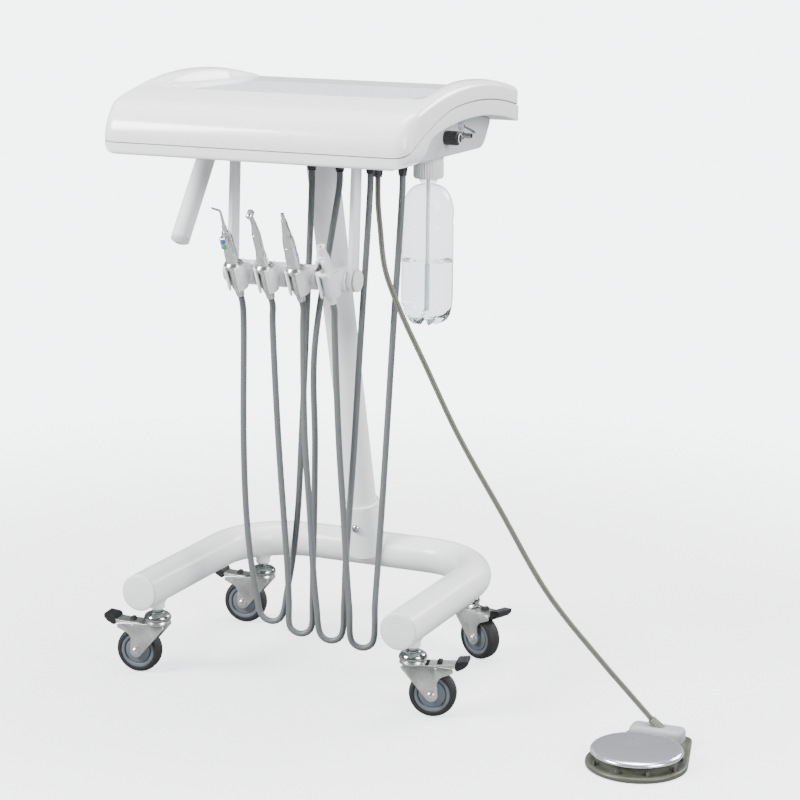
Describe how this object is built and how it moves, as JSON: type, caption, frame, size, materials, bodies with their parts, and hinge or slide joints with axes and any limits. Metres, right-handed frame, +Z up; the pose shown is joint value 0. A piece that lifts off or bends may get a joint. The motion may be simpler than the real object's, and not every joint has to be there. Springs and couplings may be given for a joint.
{
  "type": "portable dental unit",
  "caption": "Mobile dental instrument trolley: arched tray console on a leaning column, holder bar with hand instruments and looping hoses, bottle, foot disc, U-shaped base on braked casters.",
  "frame": {"origin": "floor point under the middle of the base's back tube", "axes": "+Z up, -Y towards the user who stands in front, +X to the user's right, where the bottle and the foot control are"},
  "size_m": [1.0053, 0.505, 0.9699],
  "materials": {
    "white_paint": "gloss",
    "grey_cap_plastic": "satin",
    "white_shell": "gloss",
    "white_holder": "gloss",
    "grey_mat": "matte",
    "grey_seal": "matte",
    "light_grey_plastic": "satin",
    "bright_steel": "satin",
    "zinc_steel": "bright",
    "hub_plastic": "satin",
    "tyre_rubber": "matte",
    "pedal_plastic": "matte",
    "satin_steel": "satin",
    "blue_button": "gloss",
    "green_button": "gloss",
    "black_plastic": "satin",
    "hose_silicone": "satin",
    "twin_hose": "satin",
    "dark_plastic": "satin",
    "clear_bottle": "clear",
    "clear_tube": "satin",
    "foot_plastic": "satin",
    "foot_chrome": "polished"
  },
  "bodies": {
    "unit": {"base_frame": "white_paint", "leg_end_caps": "grey_cap_plastic", "collar_bolt": "bright_steel", "column_tube": "white_paint", "flange_screws": "bright_steel", "caster_stems": "zinc_steel", "tray_cover": "white_shell", "tray_mat": "grey_mat", "tray_seal": "grey_seal", "tray_base": "white_shell", "control_housing": "light_grey_plastic", "handle_tube": "white_paint", "handle_cap": "grey_cap_plastic", "holder_bar": "bright_steel", "bar_end_caps": "grey_cap_plastic", "bar_arms": "white_paint", "holder_1": "white_holder", "holder_2": "white_holder", "holder_3": "white_holder", "holder_4": "white_holder", "syringe_hose": "hose_silicone", "turbine_hose": "hose_silicone", "motor_hose": "hose_silicone", "suction_hose": "hose_silicone", "hose_glands": "dark_plastic", "bottle_cap": "light_grey_plastic", "pickup_tube": "clear_tube", "air_inlet": "bright_steel", "foot_hose": "twin_hose", "foot_base": "foot_plastic", "foot_spring": "bright_steel", "foot_hose_cover": "light_grey_plastic"},
    "front_left_swivel": {"front_left_fork": "zinc_steel"},
    "front_left_wheel": {"front_left_hub": "hub_plastic", "front_left_tyre": "tyre_rubber"},
    "front_left_pedal": {"front_left_brake": "pedal_plastic"},
    "front_right_swivel": {"front_right_fork": "zinc_steel"},
    "front_right_wheel": {"front_right_hub": "hub_plastic", "front_right_tyre": "tyre_rubber"},
    "front_right_pedal": {"front_right_brake": "pedal_plastic"},
    "rear_left_swivel": {"rear_left_fork": "zinc_steel"},
    "rear_left_wheel": {"rear_left_hub": "hub_plastic", "rear_left_tyre": "tyre_rubber"},
    "rear_left_pedal": {"rear_left_brake": "pedal_plastic"},
    "rear_right_swivel": {"rear_right_fork": "zinc_steel"},
    "rear_right_wheel": {"rear_right_hub": "hub_plastic", "rear_right_tyre": "tyre_rubber"},
    "rear_right_pedal": {"rear_right_brake": "pedal_plastic"},
    "syringe": {"syringe_body": "satin_steel", "syringe_nozzle": "satin_steel"},
    "turbine": {"turbine_handpiece": "satin_steel"},
    "motor": {"motor_handpiece": "satin_steel"},
    "suction": {"suction_handle": "light_grey_plastic"},
    "air_button": {"air_button": "blue_button"},
    "water_button": {"water_button": "green_button"},
    "suction_lever": {"suction_lever": "black_plastic"},
    "bottle": {"water_bottle": "clear_bottle"},
    "knob": {"control_knob": "dark_plastic"},
    "toggle": {"toggle_lever": "bright_steel"},
    "pedal_disc": {"foot_disc": "foot_chrome"}
  },
  "joints": [
    {"name": "front_left_swivel", "type": "hinge", "parent": "unit", "child": "front_left_swivel", "pos_m": [-0.227, -0.342, 0.085], "axis": [0, 0, 1], "continuous": true},
    {"name": "front_left_roll", "type": "hinge", "parent": "front_left_swivel", "child": "front_left_wheel", "pos_m": [-0.25876, -0.3459, 0.0375], "axis": [0.1219, -0.9925, 0], "continuous": true},
    {"name": "front_left_brake", "type": "hinge", "parent": "front_left_swivel", "child": "front_left_pedal", "pos_m": [-0.26472, -0.34663, 0.081], "axis": [0.1219, -0.9925, 0], "range_deg": [0, 10]},
    {"name": "front_right_swivel", "type": "hinge", "parent": "unit", "child": "front_right_swivel", "pos_m": [0.227, -0.342, 0.085], "axis": [0, 0, 1], "continuous": true},
    {"name": "front_right_roll", "type": "hinge", "parent": "front_right_swivel", "child": "front_right_wheel", "pos_m": [0.25805, -0.33426, 0.0375], "axis": [-0.2419, 0.9703, 0], "continuous": true},
    {"name": "front_right_brake", "type": "hinge", "parent": "front_right_swivel", "child": "front_right_pedal", "pos_m": [0.26387, -0.33281, 0.081], "axis": [-0.2419, 0.9703, 0], "range_deg": [0, 10]},
    {"name": "rear_left_swivel", "type": "hinge", "parent": "unit", "child": "rear_left_swivel", "pos_m": [-0.19185, -0.03515, 0.085], "axis": [0, 0, 1], "continuous": true},
    {"name": "rear_left_roll", "type": "hinge", "parent": "rear_left_swivel", "child": "rear_left_wheel", "pos_m": [-0.22368, -0.03849, 0.0375], "axis": [0.1045, -0.9945, 0], "continuous": true},
    {"name": "rear_left_brake", "type": "hinge", "parent": "rear_left_swivel", "child": "rear_left_pedal", "pos_m": [-0.22964, -0.03912, 0.081], "axis": [0.1045, -0.9945, 0], "range_deg": [0, 10]},
    {"name": "rear_right_swivel", "type": "hinge", "parent": "unit", "child": "rear_right_swivel", "pos_m": [0.19185, -0.03515, 0.085], "axis": [0, 0, 1], "continuous": true},
    {"name": "rear_right_roll", "type": "hinge", "parent": "rear_right_swivel", "child": "rear_right_wheel", "pos_m": [0.22152, -0.04713, 0.0375], "axis": [0.3746, 0.9272, 0], "continuous": true},
    {"name": "rear_right_brake", "type": "hinge", "parent": "rear_right_swivel", "child": "rear_right_pedal", "pos_m": [0.22709, -0.04938, 0.081], "axis": [0.3746, 0.9272, 0], "range_deg": [0, 10]},
    {"name": "syringe_lift", "type": "slide", "parent": "unit", "child": "syringe", "axis": [0, -0.4226, 0.9063], "range_m": [0, 0.06]},
    {"name": "turbine_lift", "type": "slide", "parent": "unit", "child": "turbine", "axis": [0, -0.4226, 0.9063], "range_m": [0, 0.06]},
    {"name": "motor_lift", "type": "slide", "parent": "unit", "child": "motor", "axis": [0, -0.4226, 0.9063], "range_m": [0, 0.06]},
    {"name": "suction_lift", "type": "slide", "parent": "unit", "child": "suction", "axis": [0, -0.4226, 0.9063], "range_m": [0, 0.06]},
    {"name": "air_button_press", "type": "slide", "parent": "syringe", "child": "air_button", "axis": [0, 0.9063, 0.4226], "range_m": [0, 0.0012], "stiffness_N_per_m": 600},
    {"name": "water_button_press", "type": "slide", "parent": "syringe", "child": "water_button", "axis": [0, 0.9063, 0.4226], "range_m": [0, 0.0012], "stiffness_N_per_m": 600},
    {"name": "suction_lever_turn", "type": "hinge", "parent": "suction", "child": "suction_lever", "pos_m": [0.0795, -0.36964, 0.69881], "axis": [1, 0, 0], "range_deg": [-20, 20]},
    {"name": "bottle_unscrew", "type": "hinge", "parent": "unit", "child": "bottle", "pos_m": [0.18, -0.195, 0.82], "axis": [0, 0, 1], "range_deg": [0, 540]},
    {"name": "knob_turn", "type": "hinge", "parent": "unit", "child": "knob", "pos_m": [0.215, -0.213, 0.886], "axis": [1, 0, 0], "range_deg": [0, 270]},
    {"name": "toggle_throw", "type": "hinge", "parent": "unit", "child": "toggle", "pos_m": [0.221, -0.158, 0.9], "axis": [0, 1, 0], "range_deg": [-50, 0]},
    {"name": "foot_disc_press", "type": "slide", "parent": "unit", "child": "pedal_disc", "axis": [0, 0, -1], "range_m": [0, 0.006], "stiffness_N_per_m": 4000, "springref_m": -0.001, "deforming": ["foot_spring"]}
  ]
}
